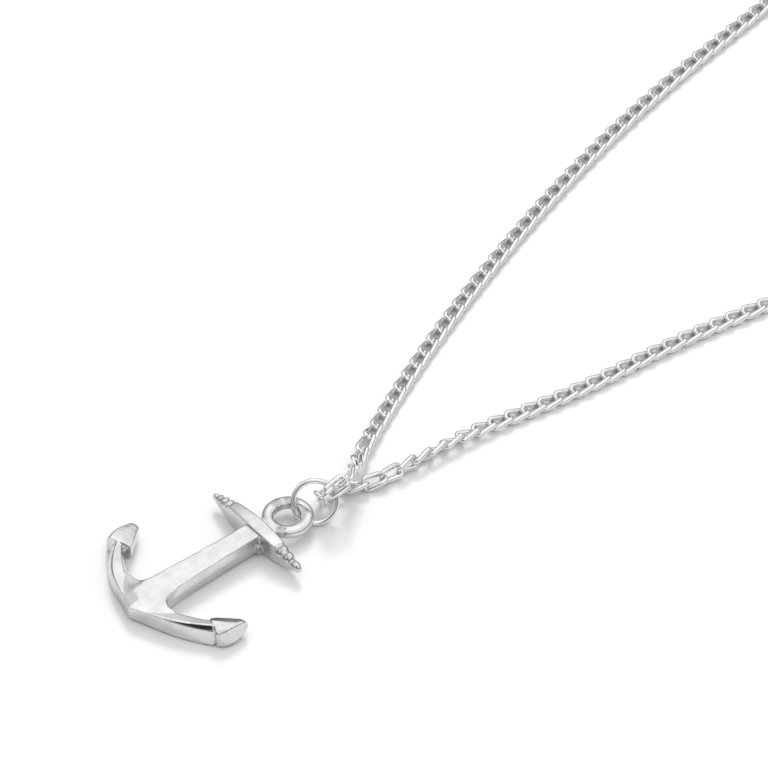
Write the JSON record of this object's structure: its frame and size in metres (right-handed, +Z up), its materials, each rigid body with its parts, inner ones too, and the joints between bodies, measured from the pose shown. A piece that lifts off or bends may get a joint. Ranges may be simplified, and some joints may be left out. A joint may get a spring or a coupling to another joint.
{
  "type": "anchor pendant necklace",
  "caption": "Small cast anchor pendant on a jump ring, with a closed curb chain, lying on a table.",
  "frame": {"origin": "middle of the footprint on the table", "axes": "+Y runs from the anchor's crown to its eye and on along the chain to the clasp, +X across the anchor, +Z up from the table"},
  "size_m": [0.0752, 0.2558, 0.0077],
  "materials": {
    "cast_silver": "polished sterling silver, cast, with fine wear",
    "ring_silver": "polished sterling silver wire",
    "chain_silver": "polished sterling silver links",
    "clasp_silver": "polished sterling silver"
  },
  "bodies": {
    "root": {"anchor": "cast_silver", "jump_ring": "ring_silver", "chain": "chain_silver", "clasp": "clasp_silver"}
  },
  "joints": []
}
